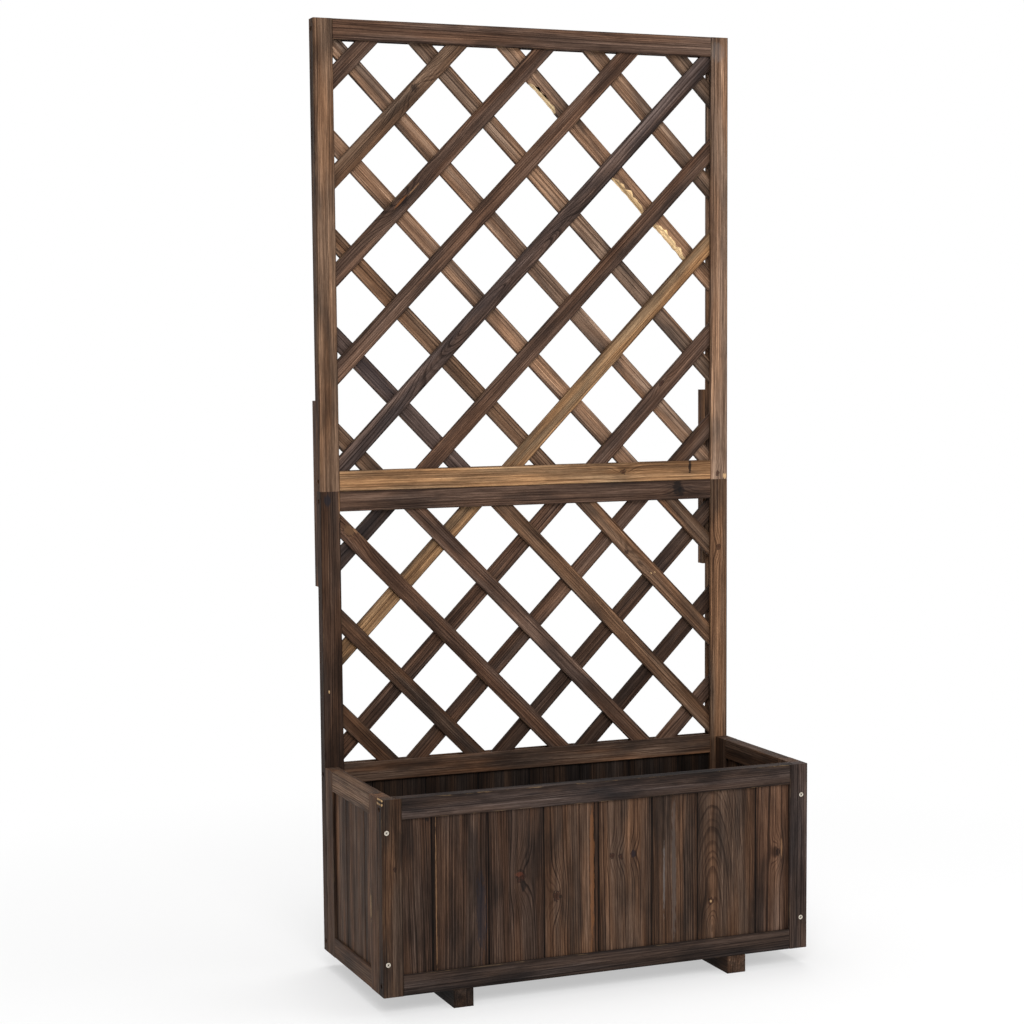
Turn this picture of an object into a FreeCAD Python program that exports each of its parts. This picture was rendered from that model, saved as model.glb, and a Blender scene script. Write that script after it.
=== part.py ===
"""Wooden planter box with a tall lattice trellis behind it.

Two grooved frames stand one above the other as the trellis. The upper frame holds two
crossed layers of slats. The lower frame holds the same lattice above a middle rail and
tongue-and-groove boards below it, where it is the back of the box. A front frame and two
side frames with the same boards close the box, which stands on two runners. Screws hold
the frames, and two battens behind the joint tie the upper frame to the lower one.

Millimetres. X runs along the width, Y towards the back, Z up. The origin is on the
ground, below the middle of the object's bounding box.
"""
import FreeCAD, Part
import math
import os
import Sketcher
from FreeCAD import Placement, Rotation, Vector

doc = FreeCAD.newDocument("planter_with_trellis")
sheet = doc.addObject("Spreadsheet::Sheet", "Sizes")

SIZES = {
    # whole object
    "width": 717,               # over the outer edges of the stiles
    "upper_height": 732,        # upper trellis frame
    "lower_height": 740,        # lower trellis frame, which stands on the runners
    "box_height": 300,          # front and side frames
    "box_depth": 280,           # trellis face to the face of the box
    "middle_rail_top": 304,     # above the bottom of the lower frame
    # frame stock
    "frame_thickness": 22,
    "stile_width": 32,
    "side_stile_width": 37,     # stiles of the two side frames
    "rail_width": 32,
    "arris": 1,                 # eased long edges
    "panel_groove": 12.4,       # width of the groove that holds slats or boards
    "groove_depth": 8,
    "seat_gap": 0.4,            # play behind whatever sits in a groove
    "end_gap": 1,               # play between an end and the bottom of its groove
    # lattice
    "slat_width": 27,
    "slat_pitch": 106.5,        # square to the slats
    "slat_angle": 45.5,         # degrees from the ground
    # tongue-and-groove boards
    "board_cover": 91,
    "front_first_board": 48,    # part of the first board that shows
    "side_first_board": 54,
    "narrow_board": 79,         # cover of the one front board that is ripped narrower
    "tongue_length": 5,
    "tongue_thickness": 4,
    "tongue_gap": 0.3,
    "board_bevel": 1.5,
    # battens behind the joint of the two trellis frames
    "batten_width": 32,
    "batten_thickness": 18,
    "batten_length": 295,
    "left_batten_drop": 5,      # from the joint to the middle of the batten
    "left_batten_inset": 1,     # from the outer edge of the stile
    "right_batten_rise": 3,
    "right_batten_inset": 3.5,
    # runners and floor
    "foot_height": 28,
    "foot_width": 32,
    "foot_inset": 111,
    "floor_thickness": 12,
    "floor_gap": 4,             # drain gap between floor boards
    "floor_clearance": 1,       # from the floor to the walls of the box
    # countersunk screws
    "screw_diameter": 4,
    "screw_head": 8,
    "screw_head_height": 2.5,
    "screw_tip": 4,             # length of the taper to the point
    "screw_point": 1,           # blunt end of the taper
    "screw_gap": 0.1,           # play around a screw
    "screw_margin": 1,          # wood left between a long screw and the groove ahead
    "deep_sink": 6,             # how deep the frame screws are let in
    "flush_sink": 0.5,          # how deep the other screws are let in
    "short_screw": 32,
    "panel_screw_offset": 50,   # from the top and bottom of the box
    "left_panel_screw": 8,      # from the outer edge
    "right_panel_screw": 11,
    "batten_screw_near": 45,    # from the middle of the batten
    "batten_screw_end": 27,     # from the ends of the batten
}
FLOOR_BOARD_COUNT = 3
NARROW_FRONT_BOARD = 5          # counted from 0 at the left
SCREW_SIDES = 8                 # screws and their holes are drawn with flats

for row, (alias, value) in enumerate(SIZES.items(), start=1):
    sheet.set(f"A{row}", alias.replace("_", " "))
    sheet.set(f"B{row}", str(value))
    sheet.setAlias(f"B{row}", alias)
doc.recompute()


class SheetNames:
    """Gives the expression that reads a cell of the sheet, as in size.width."""

    def __getattr__(self, alias):
        return "Sizes." + alias


size = SheetNames()


def number(expression):
    """Present value of an expression."""
    return float(sheet.evalExpression(str(expression)))


# Places and sizes that follow from the driving dimensions, as expressions
LEFT = f"(-{size.width} / 2)"
RIGHT = f"({size.width} / 2)"
FRONT = f"(-({size.box_depth} + {size.frame_thickness} + {size.batten_thickness}) / 2)"
TRELLIS = f"({FRONT} + {size.box_depth})"
BACK = f"({TRELLIS} + {size.frame_thickness})"
BASE = size.foot_height
JOINT = f"({BASE} + {size.lower_height})"
GROOVE_FRONT = f"(({size.frame_thickness} - {size.panel_groove}) / 2)"
GROOVE_BACK = f"(({size.frame_thickness} + {size.panel_groove}) / 2)"
BOARD_THICKNESS = f"({size.panel_groove} - {size.seat_gap})"
SLAT_THICKNESS = f"({BOARD_THICKNESS} / 2)"
SEAT_DEPTH = f"({size.groove_depth} - {size.end_gap})"
MID_THICKNESS = f"({size.frame_thickness} / 2)"
MID_RAIL = f"({size.rail_width} / 2)"
LONG_SCREW = (f"({size.frame_thickness} + {size.stile_width} - {size.groove_depth}"
              f" - {size.flush_sink} - {size.screw_margin})")
RUNNER_SINK = (f"({size.foot_height} + {size.rail_width} - {size.groove_depth}"
               f" - {size.screw_margin} - {LONG_SCREW})")
RUN = f"cos({size.slat_angle})"    # of one unit of length along a slat
RISE = f"sin({size.slat_angle})"

nodes = {}


def keep(feature, name):
    """Name a finished piece and list it as a node."""
    feature.Label = name
    nodes[name] = feature
    return feature


def move_to(feature, place, rotation=Rotation()):
    """Turn a feature and bind its base point to three expressions."""
    feature.Placement = Placement(Vector(*[number(part) for part in place]), rotation)
    for axis, expression in zip("xyz", place):
        feature.setExpression(f"Placement.Base.{axis}", str(expression))


def outline(body, plane_role, points, offset="0"):
    """Closed sketch through points, each a pair of expressions, on an origin plane."""
    sketch = body.newObject("Sketcher::SketchObject", "Outline")
    plane = next(item for item in body.Origin.OriginFeatures if item.Role == plane_role)
    sketch.AttachmentSupport = [(plane, "")]
    sketch.MapMode = "FlatFace"
    sketch.setExpression("AttachmentOffset.Base.z", offset)
    corners = [Vector(number(across), number(up), 0) for across, up in points]
    count = len(corners)
    for index, corner in enumerate(corners):
        sketch.addGeometry(Part.LineSegment(corner, corners[(index + 1) % count]), False)
    for index in range(count):
        sketch.addConstraint(Sketcher.Constraint("Coincident", index, 2, (index + 1) % count, 1))
    for index, (across, up) in enumerate(points):
        corner = corners[index]
        for kind, value, expression in (("DistanceX", corner.x, across),
                                        ("DistanceY", corner.y, up)):
            rule = Sketcher.Constraint(kind, -1, 1, index, 1, value)
            place = sketch.addConstraint(rule)
            sketch.setExpression(f"Constraints[{place}]", str(expression))
    return sketch


def pad(body, plane_role, points, length, offset="0"):
    """Add a straight length of one section to a body."""
    feature = body.newObject("PartDesign::Pad", "Length")
    feature.Profile = outline(body, plane_role, points, offset)
    feature.setExpression("Length", str(length))
    feature.Refine = True
    return feature


def faceted(name, stations):
    """Straight-sided body about its Z axis through stations of (height, radius)."""
    rings = []
    for height, radius in stations:
        ring = doc.addObject("Part::RegularPolygon", "Ring")
        ring.Polygon = SCREW_SIDES
        ring.setExpression("Circumradius", radius)
        ring.setExpression("Placement.Base.z", height)
        rings.append(ring)
    loft = doc.addObject("Part::Loft", name)
    loft.Sections = rings
    loft.Solid = True
    loft.Ruled = True
    loft.Linearize = True
    return loft


def screw_body(name, length):
    """Countersunk screw that points along +Z from its head."""
    shank = f"{size.screw_diameter} / 2"
    return faceted(name, [
        ("0 mm", f"{size.screw_head} / 2"),
        (size.screw_head_height, shank),
        (f"{length} - {size.screw_tip}", shank),
        (length, f"{size.screw_point} / 2"),
    ])


screws = {"long_screws": [], "short_screws": []}
holes = []


class Fixing:
    """One kind of screw let in to one depth, with the hole that it sits in."""

    def __init__(self, node, screw, length, sink):
        head = f"{size.screw_head} / 2 + {size.screw_gap}"
        shank = f"{size.screw_diameter} / 2 + {size.screw_gap}"
        self.node = node
        self.screw = screw
        self.sink = sink
        self.hole = faceted("Hole", [
            ("0 mm", head),
            (sink, head),
            (f"{sink} + {size.screw_head_height}", shank),
            (f"{sink} + {length} + {size.screw_gap}", shank),
        ])

    def drive(self, place, rotation):
        """Put one screw and its hole at a place on the surface, turned from +Z."""
        hole_link = doc.addObject("App::Link", "HoleLink")
        hole_link.LinkedObject = self.hole
        move_to(hole_link, place, rotation)
        holes.append(hole_link)
        inward = rotation.multVec(Vector(0, 0, 1))
        sunk = [f"{start} + {round(step)} * {self.sink}" for start, step in zip(place, inward)]
        screw_link = doc.addObject("App::Link", "ScrewLink")
        screw_link.LinkedObject = self.screw
        move_to(screw_link, sunk, rotation)
        screws[self.node].append(screw_link)


long_screw = screw_body("LongScrew", LONG_SCREW)
short_screw = screw_body("ShortScrew", size.short_screw)
frame_fixing = Fixing("long_screws", long_screw, LONG_SCREW, size.deep_sink)
panel_fixing = Fixing("long_screws", long_screw, LONG_SCREW, size.flush_sink)
runner_fixing = Fixing("long_screws", long_screw, LONG_SCREW, RUNNER_SINK)
short_fixing = Fixing("short_screws", short_screw, size.short_screw, size.flush_sink)

TOWARDS = {
    "+X": Rotation(Vector(0, 1, 0), 90),
    "-X": Rotation(Vector(0, 1, 0), -90),
    "+Y": Rotation(Vector(1, 0, 0), -90),
    "-Y": Rotation(Vector(1, 0, 0), 90),
    "+Z": Rotation(),
    "-Z": Rotation(Vector(1, 0, 0), 180),
}


class Panel:
    """Grooved frame whose own X runs along its face, Y into its thickness and Z up."""

    def __init__(self, name, origin, width, height, turn=0, stile_width=size.stile_width):
        self.name = name
        self.origin = origin
        self.width = width
        self.height = height
        self.turn = turn
        self.stile_width = stile_width
        self.rotation = Rotation(Vector(0, 0, 1), turn)
        self.blanks = []

    def place(self, along, inward, up):
        """Expressions in the object's frame for a point given in the panel's own."""
        x, y, z = self.origin
        if self.turn == -90:
            return f"{x} + {inward}", f"{y} - ({along})", f"{z} + {up}"
        if self.turn == 90:
            return f"{x} - ({inward})", f"{y} + {along}", f"{z} + {up}"
        return f"{x} + {along}", f"{y} + {inward}", f"{z} + {up}"

    def blank(self, name):
        """Empty body for one member of this panel."""
        body = doc.addObject("PartDesign::Body", "Blank")
        self.blanks.append((body, name))
        return body

    def stile(self, name, at_far_side):
        """Upright with a groove along its inner edge, over the panel's full height."""
        wide, thick, arris = self.stile_width, size.frame_thickness, size.arris
        groove = f"{wide} - {size.groove_depth}"
        section = [
            (arris, "0"), (f"{wide} - {arris}", "0"), (wide, arris),
            (wide, GROOVE_FRONT), (groove, GROOVE_FRONT),
            (groove, GROOVE_BACK), (wide, GROOVE_BACK),
            (wide, f"{thick} - {arris}"), (f"{wide} - {arris}", thick),
            (arris, thick), ("0", f"{thick} - {arris}"), ("0", arris),
        ]
        start = "0"
        if at_far_side:
            section = [(f"{wide} - ({along})", inward) for along, inward in section]
            start = f"({self.width} - {wide})"
        body = self.blank(name)
        pad(body, "XY_Plane", section, self.height)
        move_to(body, self.place(start, "0", "0"), self.rotation)

    def rail(self, name, bottom, grooves):
        """Rail between the stiles, with a stub tenon at each end in the stile's groove."""
        high, thick, arris = size.rail_width, size.frame_thickness, size.arris
        top_seat, bottom_seat = high, "0"
        top = [(f"{thick} - {arris}", high)]
        low = [(arris, "0")]
        if "top" in grooves:
            top_seat = f"({high} - {size.groove_depth})"
            top += [(GROOVE_BACK, high), (GROOVE_BACK, top_seat),
                    (GROOVE_FRONT, top_seat), (GROOVE_FRONT, high)]
        if "bottom" in grooves:
            bottom_seat = size.groove_depth
            low += [(GROOVE_FRONT, "0"), (GROOVE_FRONT, bottom_seat),
                    (GROOVE_BACK, bottom_seat), (GROOVE_BACK, "0")]
        section = low + [(f"{thick} - {arris}", "0"), (thick, arris), (thick, f"{high} - {arris}")]
        section += top + [(arris, high), ("0", f"{high} - {arris}"), ("0", arris)]
        tenon_back = f"{GROOVE_BACK} - {size.seat_gap}"
        tenon = [(GROOVE_FRONT, bottom_seat), (tenon_back, bottom_seat),
                 (tenon_back, top_seat), (GROOVE_FRONT, top_seat)]
        length = f"({self.width} - 2 * {self.stile_width})"
        body = self.blank(name)
        pad(body, "YZ_Plane", section, length)
        pad(body, "YZ_Plane", tenon, f"{length} + 2 * {SEAT_DEPTH}", f"-{SEAT_DEPTH}")
        move_to(body, self.place(self.stile_width, "0", bottom), self.rotation)
        middle = f"{bottom} + {MID_RAIL}"
        for edge, way in (("0", "+X"), (self.width, "-X")):
            frame_fixing.drive(self.place(edge, MID_THICKNESS, middle),
                               self.rotation.multiply(TOWARDS[way]))

    def frame(self, stile_names, rails):
        """Two stiles and the rails between them, as (name, bottom, grooved edges)."""
        self.stile(stile_names[0], at_far_side=False)
        self.stile(stile_names[1], at_far_side=True)
        for name, bottom, grooves in rails:
            self.rail(name, bottom, grooves)

    def boards(self, name, bottom, top, first_board, narrow=None):
        """Tongue-and-groove boards in the grooves of the frame, as separate solids."""
        field_start = self.stile_width
        field_end = f"({self.width} - {self.stile_width})"
        field = number(f"{field_end} - {field_start}")
        joint_count = math.ceil((field - number(first_board)) / number(size.board_cover))
        joints = [f"({field_start} + {first_board} + {index} * {size.board_cover})"
                  for index in range(joint_count)]
        if narrow is not None and narrow < joint_count:
            joints[narrow] = f"({joints[narrow - 1]} + {size.narrow_board})"
        edges = [f"({field_start} - {SEAT_DEPTH})"] + joints + [f"({field_end} + {SEAT_DEPTH})"]
        length = f"{top} - ({bottom}) + 2 * {size.groove_depth} - {size.end_gap}"
        group = []
        for index in range(len(edges) - 1):
            body = doc.addObject("PartDesign::Body", "Board")
            wide = f"({edges[index + 1]} - {edges[index]})"
            section = board_section(wide, index > 0, index < len(edges) - 2)
            pad(body, "XY_Plane", section, length)
            move_to(body, self.place(edges[index], GROOVE_FRONT,
                                     f"{bottom} - {size.groove_depth}"), self.rotation)
            group.append(body)
        compound = doc.addObject("Part::Compound", "Boards")
        compound.Links = group
        keep(compound, name)

    def slats(self, name, bottom, top, rising, layer):
        """One layer of slanted slats, cut to the window between the frame's grooves."""
        window = doc.addObject("Part::Box", "Window")
        window_width = f"({self.width} - 2 * {self.stile_width} + 2 * {SEAT_DEPTH})"
        window_height = f"({top} - ({bottom}) + 2 * {SEAT_DEPTH})"
        window.setExpression("Length", window_width)
        window.setExpression("Width", size.frame_thickness)
        window.setExpression("Height", window_height)
        move_to(window, self.place(f"{self.stile_width} - {SEAT_DEPTH}", "0",
                                   f"{bottom} - {SEAT_DEPTH}"))
        centre_x = f"({self.width} / 2)"
        centre_z = f"(({top} + {bottom}) / 2)"
        inward = f"{GROOVE_FRONT} + {layer} * {SLAT_THICKNESS}"
        long = f"({window_width} + {window_height})"
        reach = number(f"({window_width} * {RISE} + {window_height} * {RUN}) / 2")
        outermost = int((reach - number(size.slat_width)) / number(size.slat_pitch))
        corner_slats = []
        for step in range(-outermost, outermost + 1):
            shift = f"({step} * {size.slat_pitch})"
            slat = doc.addObject("Part::Box", "SlatLength")
            slat.setExpression("Length", long)
            slat.setExpression("Width", SLAT_THICKNESS)
            slat.setExpression("Height", size.slat_width)
            edge = f"({shift} {'+' if rising else '-'} {size.slat_width} / 2)"
            side = -1 if rising else 1
            start = (f"{centre_x} + {RISE} * {edge} - {RUN} * {long} / 2",
                     f"{centre_z} + {side} * ({RUN} * {edge} + {RISE} * {long} / 2)")
            move_to(slat, self.place(start[0], inward, start[1]),
                    Rotation(Vector(0, side, 0), number(size.slat_angle)))
            slat.setExpression("Placement.Rotation.Angle", size.slat_angle)
            cut = doc.addObject("Part::Common", "Slat")
            cut.Base = slat
            cut.Tool = window
            if abs(step) == outermost:
                corner_slats.append(cut)
            else:
                keep(cut, f"{name}_slat_{step + outermost}")
        pair = doc.addObject("Part::Compound", "CornerSlats")
        pair.Links = corner_slats
        keep(pair, f"{name}_corner_slats")


def board_section(wide, grooved, tongued):
    """Board seen end on: groove at its left edge, tongue at its right, bevelled joints."""
    thick = BOARD_THICKNESS
    bevel = size.board_bevel
    low = f"({thick} - {size.tongue_thickness}) / 2"
    high = f"({thick} + {size.tongue_thickness}) / 2"
    left = [("0", thick), ("0", "0")]
    right = [(wide, "0"), (wide, thick)]
    if grooved:
        depth = f"{size.tongue_length} + {size.tongue_gap}"
        left = [
            (bevel, thick), ("0", f"{thick} - {bevel}"), ("0", f"{high} + {size.tongue_gap}"),
            (depth, f"{high} + {size.tongue_gap}"), (depth, f"{low} - {size.tongue_gap}"),
            ("0", f"{low} - {size.tongue_gap}"), ("0", bevel), (bevel, "0"),
        ]
    if tongued:
        tip = f"{wide} + {size.tongue_length}"
        right = [
            (f"{wide} - {bevel}", "0"), (wide, bevel), (wide, low),
            (tip, low), (tip, high),
            (wide, high), (wide, f"{thick} - {bevel}"), (f"{wide} - {bevel}", thick),
        ]
    return left + right


# The four frames
TOP_OF_UPPER = f"({size.upper_height} - {size.rail_width})"
TOP_OF_LOWER = f"({size.lower_height} - {size.rail_width})"
TOP_OF_BOX = f"({size.box_height} - {size.rail_width})"
MIDDLE_RAIL = f"({size.middle_rail_top} - {size.rail_width})"
SIDE_DEPTH = f"({size.box_depth} - {size.frame_thickness})"

upper = Panel("upper", (LEFT, TRELLIS, JOINT), size.width, size.upper_height)
upper.frame(("upper_left_stile", "upper_right_stile"), [
    ("upper_top_rail", TOP_OF_UPPER, "bottom"),
    ("upper_bottom_rail", "0", "top"),
])
upper.slats("upper_front", size.rail_width, TOP_OF_UPPER, rising=True, layer=0)
upper.slats("upper_back", size.rail_width, TOP_OF_UPPER, rising=False, layer=1)

lower = Panel("lower", (LEFT, TRELLIS, BASE), size.width, size.lower_height)
lower.frame(("lower_left_stile", "lower_right_stile"), [
    ("lower_top_rail", TOP_OF_LOWER, "bottom"),
    ("lower_middle_rail", MIDDLE_RAIL, "top and bottom"),
    ("lower_bottom_rail", "0", "top"),
])
lower.slats("lower_front", size.middle_rail_top, TOP_OF_LOWER, rising=False, layer=0)
lower.slats("lower_back", size.middle_rail_top, TOP_OF_LOWER, rising=True, layer=1)
lower.boards("back_boards", size.rail_width, MIDDLE_RAIL, size.front_first_board)

front = Panel("front", (LEFT, FRONT, BASE), size.width, size.box_height)
front.frame(("front_left_stile", "front_right_stile"), [
    ("front_top_rail", TOP_OF_BOX, "bottom"),
    ("front_bottom_rail", "0", "top"),
])
front.boards("front_boards", size.rail_width, TOP_OF_BOX, size.front_first_board,
             narrow=NARROW_FRONT_BOARD)

left_side = Panel("left_side", (LEFT, TRELLIS, BASE), SIDE_DEPTH, size.box_height, turn=-90,
                  stile_width=size.side_stile_width)
left_side.frame(("left_side_rear_stile", "left_side_front_stile"), [
    ("left_side_top_rail", TOP_OF_BOX, "bottom"),
    ("left_side_bottom_rail", "0", "top"),
])
left_side.boards("left_side_boards", size.rail_width, TOP_OF_BOX, size.side_first_board)

right_side = Panel("right_side", (RIGHT, f"({FRONT} + {size.frame_thickness})", BASE),
                   SIDE_DEPTH, size.box_height, turn=90, stile_width=size.side_stile_width)
right_side.frame(("right_side_front_stile", "right_side_rear_stile"), [
    ("right_side_top_rail", TOP_OF_BOX, "bottom"),
    ("right_side_bottom_rail", "0", "top"),
])
right_side.boards("right_side_boards", size.rail_width, TOP_OF_BOX, size.side_first_board)

# Screws that join the front and the trellis to the ends of the side frames
for across in (size.left_panel_screw, f"({size.width} - {size.right_panel_screw})"):
    for up in (size.panel_screw_offset, f"({size.box_height} - {size.panel_screw_offset})"):
        panel_fixing.drive(front.place(across, "0", up), TOWARDS["+Y"])
        panel_fixing.drive(lower.place(across, size.frame_thickness, up), TOWARDS["-Y"])


def square_blank(place, length, width, height):
    """Square-edged piece bound to the sheet."""
    box = doc.addObject("Part::Box", "SquareBlank")
    for side, expression in (("Length", length), ("Width", width), ("Height", height)):
        box.setExpression(side, expression)
    move_to(box, place)
    return box


# Battens on the back of the stiles, across the joint of the two trellis frames
STILE_CORE = f"({size.stile_width} - {size.groove_depth})"
battens = {
    "left_batten": (f"({LEFT} + {size.left_batten_inset})",
                    f"({JOINT} - {size.left_batten_drop})",
                    f"({LEFT} + ({STILE_CORE} + {size.left_batten_inset}) / 2)"),
    "right_batten": (f"({RIGHT} - {size.batten_width} - {size.right_batten_inset})",
                     f"({JOINT} + {size.right_batten_rise})",
                     f"({RIGHT} - ({STILE_CORE} + {size.right_batten_inset}) / 2)"),
}
blanks = []
for name, (edge, middle, screw_line) in battens.items():
    blank = square_blank((edge, BACK, f"{middle} - {size.batten_length} / 2"),
                         size.batten_width, size.batten_thickness, size.batten_length)
    blanks.append((blank, name))
    for distance in (size.batten_screw_near,
                     f"({size.batten_length} / 2 - {size.batten_screw_end})"):
        for sign in ("+", "-"):
            height = f"{middle} {sign} {distance}"
            short_fixing.drive((screw_line, f"{BACK} + {size.batten_thickness}", height),
                               TOWARDS["-Y"])

# Runners under the box and the floor boards that lie on them
RUNNER_LENGTH = f"({size.box_depth} + {size.frame_thickness})"
runner_edges = {
    "left_runner": f"({LEFT} + {size.foot_inset})",
    "right_runner": f"({RIGHT} - {size.foot_inset} - {size.foot_width})",
}
INNER_DEPTH = f"({SIDE_DEPTH} - 2 * {size.floor_clearance})"
FLOOR_BOARD = (f"(({INNER_DEPTH} - {FLOOR_BOARD_COUNT - 1} * {size.floor_gap})"
               f" / {FLOOR_BOARD_COUNT})")
FLOOR_START = f"({FRONT} + {size.frame_thickness} + {size.floor_clearance})"
for name, edge in runner_edges.items():
    blank = square_blank((edge, FRONT, "0"), size.foot_width, RUNNER_LENGTH, size.foot_height)
    blanks.append((blank, name))
    middle = f"({edge} + {size.foot_width} / 2)"
    for frame_face in (FRONT, TRELLIS):
        runner_fixing.drive((middle, f"{frame_face} + {MID_THICKNESS}", "0"), TOWARDS["+Z"])
    for index in range(FLOOR_BOARD_COUNT):
        along = f"{FLOOR_START} + {index} * ({FLOOR_BOARD} + {size.floor_gap}) + {FLOOR_BOARD} / 2"
        short_fixing.drive((middle, along, f"{BASE} + {size.floor_thickness}"), TOWARDS["-Z"])

# Floor boards
FLOOR_LENGTH = f"({size.width} - 2 * {size.frame_thickness} - 2 * {size.floor_clearance})"
floor_blanks = []
for index in range(FLOOR_BOARD_COUNT):
    corner = (f"{LEFT} + {size.frame_thickness} + {size.floor_clearance}",
              f"{FLOOR_START} + {index} * ({FLOOR_BOARD} + {size.floor_gap})", BASE)
    floor_blanks.append(square_blank(corner, FLOOR_LENGTH, FLOOR_BOARD, size.floor_thickness))

# Holes are cut once everything that is screwed has its blank
doc.recompute()


def drilled(blank):
    """Piece with the screw holes that reach it."""
    tools = doc.addObject("Part::Compound", "ScrewHoles")
    tools.Links = [hole for hole in holes
                   if Part.getShape(hole).BoundBox.intersect(blank.Shape.BoundBox)]
    cut = doc.addObject("Part::Cut", "Drilled")
    cut.Base = blank
    cut.Tool = tools
    return cut


for panel in (upper, lower, front, left_side, right_side):
    blanks += panel.blanks
for blank, name in blanks:
    keep(drilled(blank), name)
floor = doc.addObject("Part::Compound", "Floor")
floor.Links = [drilled(blank) for blank in floor_blanks]
keep(floor, "floor_boards")

for name, links in screws.items():
    group = doc.addObject("Part::Compound", "Screws")
    group.Links = links
    keep(group, name)

doc.recompute()

for item in doc.Objects:
    if {"Invalid", "Error"} & set(item.State):
        raise RuntimeError(f"{item.Label} failed: {item.State}")
os.makedirs("parts", exist_ok=True)
for name, feature in sorted(nodes.items()):
    shape = feature.Shape
    if shape.isNull() or not shape.isValid() or not shape.Solids:
        raise RuntimeError(f"{name} has no valid solid")
    shape.exportStep(f"parts/{name}.step")
print(len(nodes), "nodes,", sum(len(feature.Shape.Solids) for feature in nodes.values()), "solids")
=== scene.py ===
"""Looks of the wooden planter with its lattice trellis: stained softwood, screws, floor and light.

Lengths are metres in the object's frame, +Z up, and millimetres inside the wood materials,
where every piece has its own grain space: U along the grain, V across the face, W through it.
"""
import math
import random

import bmesh
import bpy
from mathutils import Matrix, Vector, noise


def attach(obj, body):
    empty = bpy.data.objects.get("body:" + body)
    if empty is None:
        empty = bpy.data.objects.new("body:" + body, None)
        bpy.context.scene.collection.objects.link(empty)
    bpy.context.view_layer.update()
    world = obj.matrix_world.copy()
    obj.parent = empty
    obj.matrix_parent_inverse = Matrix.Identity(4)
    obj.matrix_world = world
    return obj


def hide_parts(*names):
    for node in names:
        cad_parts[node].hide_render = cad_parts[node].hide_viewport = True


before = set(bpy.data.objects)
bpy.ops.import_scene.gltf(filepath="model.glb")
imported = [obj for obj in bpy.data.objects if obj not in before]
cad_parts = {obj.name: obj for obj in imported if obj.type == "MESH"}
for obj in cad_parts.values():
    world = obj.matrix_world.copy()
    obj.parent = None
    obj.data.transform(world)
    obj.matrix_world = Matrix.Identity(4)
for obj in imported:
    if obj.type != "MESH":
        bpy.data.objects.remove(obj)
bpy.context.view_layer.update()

MM = 0.001
PER_MM = (1 / MM, 1 / MM, 1 / MM)
SAME_PLACE = 0.01 * MM
X, Y, Z = Vector((1, 0, 0)), Vector((0, 1, 0)), Vector((0, 0, 1))
SLAT_ANGLE = math.radians(45.5)
RISING = Vector((math.cos(SLAT_ANGLE), 0, math.sin(SLAT_ANGLE)))
FALLING = Vector((math.cos(SLAT_ANGLE), 0, -math.sin(SLAT_ANGLE)))
BODY = "root"


# ---------------------------------------------------------------- shader helpers

def linear(colour):
    """Linear colour from an sRGB triple of 0 to 255."""
    shares = [part / 255 for part in colour]
    return tuple(s / 12.92 if s <= 0.04045 else ((s + 0.055) / 1.055) ** 2.4 for s in shares) + (1,)


class Graph:
    """Adds shader nodes to a tree and joins them."""

    def __init__(self, tree):
        self.tree = tree

    def add(self, kind, **settings):
        """New node of a kind, with its settings."""
        node = self.tree.nodes.new(kind)
        for name, value in settings.items():
            setattr(node, name, value)
        return node

    def feed(self, socket, value):
        """Give a socket a link or a plain value."""
        if isinstance(value, bpy.types.NodeSocket):
            self.tree.links.new(value, socket)
        else:
            socket.default_value = value

    def math(self, operation, *values):
        node = self.add("ShaderNodeMath", operation=operation)
        for socket, value in zip(node.inputs, values):
            self.feed(socket, value)
        return node.outputs[0]

    def vector(self, operation, *values):
        node = self.add("ShaderNodeVectorMath", operation=operation)
        for socket, value in zip(node.inputs, values):
            self.feed(socket, value)
        return node.outputs["Value" if operation in ("DOT_PRODUCT", "LENGTH") else "Vector"]

    def split(self, vector):
        node = self.add("ShaderNodeSeparateXYZ")
        self.feed(node.inputs[0], vector)
        return node.outputs[0], node.outputs[1], node.outputs[2]

    def join(self, *values):
        node = self.add("ShaderNodeCombineXYZ")
        for socket, value in zip(node.inputs, values):
            self.feed(socket, value)
        return node.outputs[0]

    def noise(self, place, stretch, seed, detail=2.0, roughness=0.5):
        """Noise from 0 to 1 whose lumps are 1 / stretch long along U, V and W."""
        scaled = self.vector("MULTIPLY", place, stretch)
        node = self.add("ShaderNodeTexNoise")
        self.feed(node.inputs["Vector"], self.vector("ADD", scaled, seed))
        node.inputs["Scale"].default_value = 1.0
        node.inputs["Detail"].default_value = detail
        node.inputs["Roughness"].default_value = roughness
        return node.outputs["Fac"]

    def smooth(self, value, low, high, start=0.0, end=1.0):
        """Smooth step of a value between two limits."""
        node = self.add("ShaderNodeMapRange", interpolation_type="SMOOTHSTEP")
        self.feed(node.inputs["Value"], value)
        self.feed(node.inputs["From Min"], low)
        self.feed(node.inputs["From Max"], high)
        self.feed(node.inputs["To Min"], start)
        self.feed(node.inputs["To Max"], end)
        return node.outputs["Result"]

    def mix(self, factor, first, second, blend="MIX"):
        """Blend of two colours."""
        node = self.add("ShaderNodeMix", data_type="RGBA", blend_type=blend)
        self.feed(node.inputs["Factor"], factor)
        self.feed(node.inputs[6], first)
        self.feed(node.inputs[7], second)
        return node.outputs[2]


def new_group(name, inputs, outputs):
    """Empty node group with its sockets; returns the graph, its input sockets and output node."""
    group = bpy.data.node_groups.new(name, "ShaderNodeTree")
    for socket_name, kind in inputs:
        group.interface.new_socket(socket_name, in_out="INPUT", socket_type="NodeSocket" + kind)
    for socket_name, kind in outputs:
        group.interface.new_socket(socket_name, in_out="OUTPUT", socket_type="NodeSocket" + kind)
    graph = Graph(group)
    return group, graph, graph.add("NodeGroupInput").outputs, graph.add("NodeGroupOutput").inputs


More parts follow.
